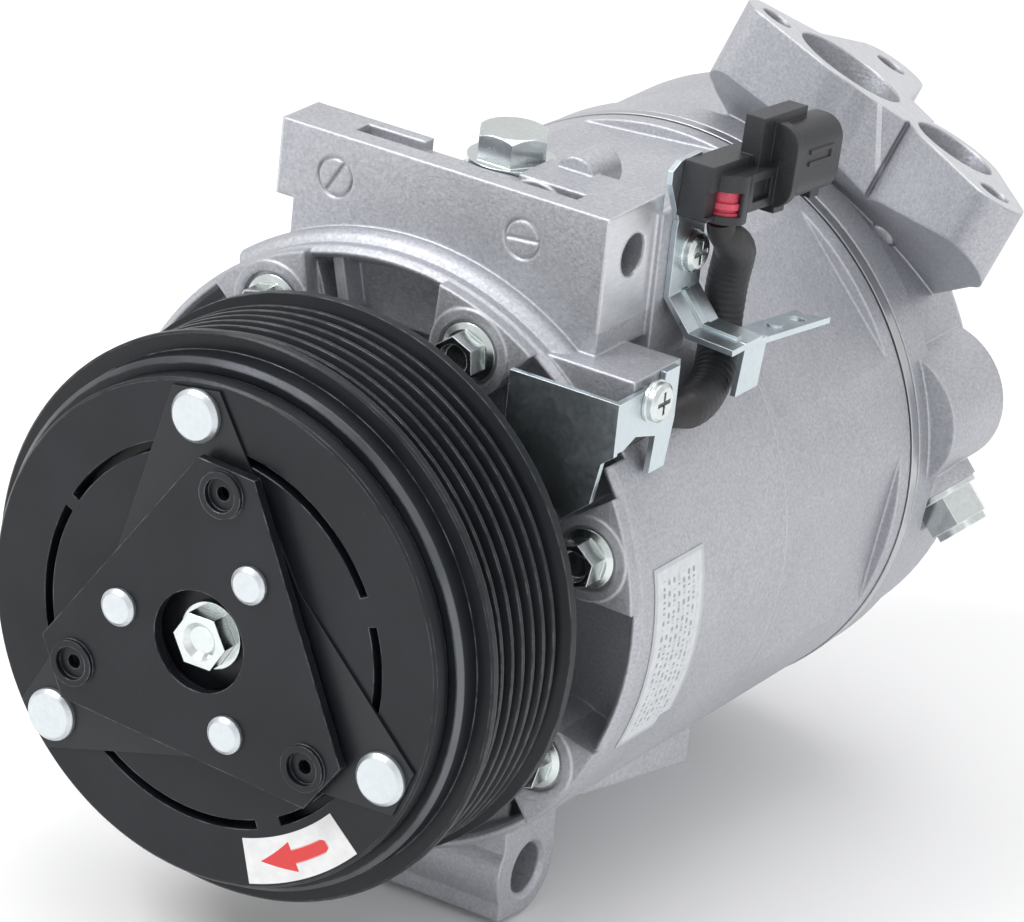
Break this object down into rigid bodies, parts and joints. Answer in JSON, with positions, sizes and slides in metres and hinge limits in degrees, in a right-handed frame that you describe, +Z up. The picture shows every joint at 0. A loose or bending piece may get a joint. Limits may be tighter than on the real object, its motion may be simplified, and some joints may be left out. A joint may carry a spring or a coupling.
{
  "type": "automotive ac compressor",
  "caption": "Belt-driven refrigerant compressor with magnetic clutch, grooved pulley, cast body, mounting bar, lower lug, twin pipe ports and coil lead.",
  "frame": {"origin": "centre of the belt track on the shaft axis", "axes": "+Y along the shaft axis from the clutch towards the rear head, +Z up with the mounting bar on top, +X towards the side with the connector"},
  "size_m": [0.135, 0.2138, 0.1637],
  "materials": {
    "cast_aluminium": "as cast, sand-blasted look, machined faces brighter",
    "piston_aluminium": "machined",
    "zinc_fastener": "bright zinc plated",
    "zinc_sheet": "zinc plated sheet with a faint yellow-green cast",
    "plain_steel": "machined",
    "spring_steel": "dark spring steel",
    "bearing_steel": "ground",
    "rivet_steel": "bright zinc plated, formed heads",
    "black_paint": "satin black coat",
    "black_rubber": "matt",
    "gasket": "rubber-coated sheet",
    "copper": "copper",
    "brass": "machined",
    "connector_plastic": "moulded, fine grain",
    "seal_red": "silicone",
    "label_white": "printed film without any lettering",
    "lead_sleeve": "slit sleeve over a single wire"
  },
  "bodies": {
    "case": {"front_housing": "cast_aluminium", "cylinder_block": "cast_aluminium", "rear_head": "cast_aluminium", "valve_plate": "plain_steel", "suction_reed": "spring_steel", "discharge_reed": "spring_steel", "head_gasket": "gasket", "case_o_ring": "black_rubber", "through_bolts": "zinc_fastener", "pistons": "piston_aluminium", "piston_shoes": "brass", "shaft_seal": "black_rubber", "seal_ring": "plain_steel", "bearing_shells": "bearing_steel", "thrust_race": "bearing_steel", "coil_case": "black_paint", "coil_winding": "copper", "coil_ring": "plain_steel", "pulley_bearing_inner": "bearing_steel", "nose_ring": "plain_steel", "oil_plug": "zinc_fastener", "oil_plug_washer": "copper", "relief_body": "zinc_fastener", "relief_spring": "spring_steel", "control_valve": "brass", "control_valve_seals": "black_rubber", "control_valve_ring": "plain_steel", "lead_bracket": "zinc_sheet", "clip_screws": "zinc_fastener", "lead_cover": "zinc_sheet", "connector": "connector_plastic", "wire_seal": "seal_red", "terminal": "brass", "coil_lead": "lead_sleeve", "data_label": "label_white"},
    "pulley_set": {"pulley": "black_paint", "pulley_bearing_outer": "bearing_steel", "bearing_seals": "black_rubber"},
    "ball_set": {"pulley_bearing_balls": "bearing_steel", "pulley_bearing_cage": "brass"},
    "rotor": {"drive_shaft": "plain_steel", "lug_plate": "plain_steel", "swash_plate": "plain_steel", "swash_sleeve": "plain_steel", "hinge_pin": "plain_steel", "destroke_spring": "spring_steel", "clutch_hub": "black_paint", "hub_plate": "black_paint", "hub_rivets": "rivet_steel", "centre_bolt": "zinc_fastener"},
    "armature_set": {"armature": "black_paint", "armature_rivets": "rivet_steel", "spring_plate": "spring_steel", "direction_sticker": "label_white"},
    "shaft_needle_set": {"shaft_needles": "bearing_steel"},
    "thrust_needle_set": {"thrust_needles": "bearing_steel"},
    "relief_valve_poppet": {"relief_poppet": "brass"},
    "control_valve_rod": {"control_rod": "plain_steel"}
  },
  "joints": [
    {"name": "pulley_spin", "type": "hinge", "parent": "case", "child": "pulley_set", "pos_m": [0, 0, 0], "axis": [0, 1, 0], "continuous": true},
    {"name": "ball_cage_spin", "type": "hinge", "parent": "case", "child": "ball_set", "pos_m": [0, 0, 0], "axis": [0, 1, 0], "continuous": true},
    {"name": "shaft_spin", "type": "hinge", "parent": "case", "child": "rotor", "pos_m": [0, 0, 0], "axis": [0, 1, 0], "continuous": true},
    {"name": "armature_engage", "type": "slide", "parent": "rotor", "child": "armature_set", "axis": [0, 1, 0], "range_m": [0, 0.00045], "stiffness_N_per_m": 3000},
    {"name": "shaft_needle_spin", "type": "hinge", "parent": "case", "child": "shaft_needle_set", "pos_m": [0, 0.036, 0], "axis": [0, 1, 0], "continuous": true},
    {"name": "thrust_needle_spin", "type": "hinge", "parent": "case", "child": "thrust_needle_set", "pos_m": [0, 0.04595, 0], "axis": [0, 1, 0], "continuous": true},
    {"name": "relief_lift", "type": "slide", "parent": "case", "child": "relief_valve_poppet", "axis": [0.682, 0, -0.7314], "range_m": [0, 0.0015], "stiffness_N_per_m": 2000},
    {"name": "control_rod_stroke", "type": "slide", "parent": "case", "child": "control_valve_rod", "axis": [0, 0, 1], "range_m": [0, 0.0008], "stiffness_N_per_m": 2000}
  ],
  "couplings": [
    {"joint": "ball_cage_spin", "follows": "pulley_spin", "ratio": 0.5547},
    {"joint": "shaft_needle_spin", "follows": "shaft_spin", "ratio": 0.4393},
    {"joint": "thrust_needle_spin", "follows": "shaft_spin", "ratio": 0.5}
  ]
}
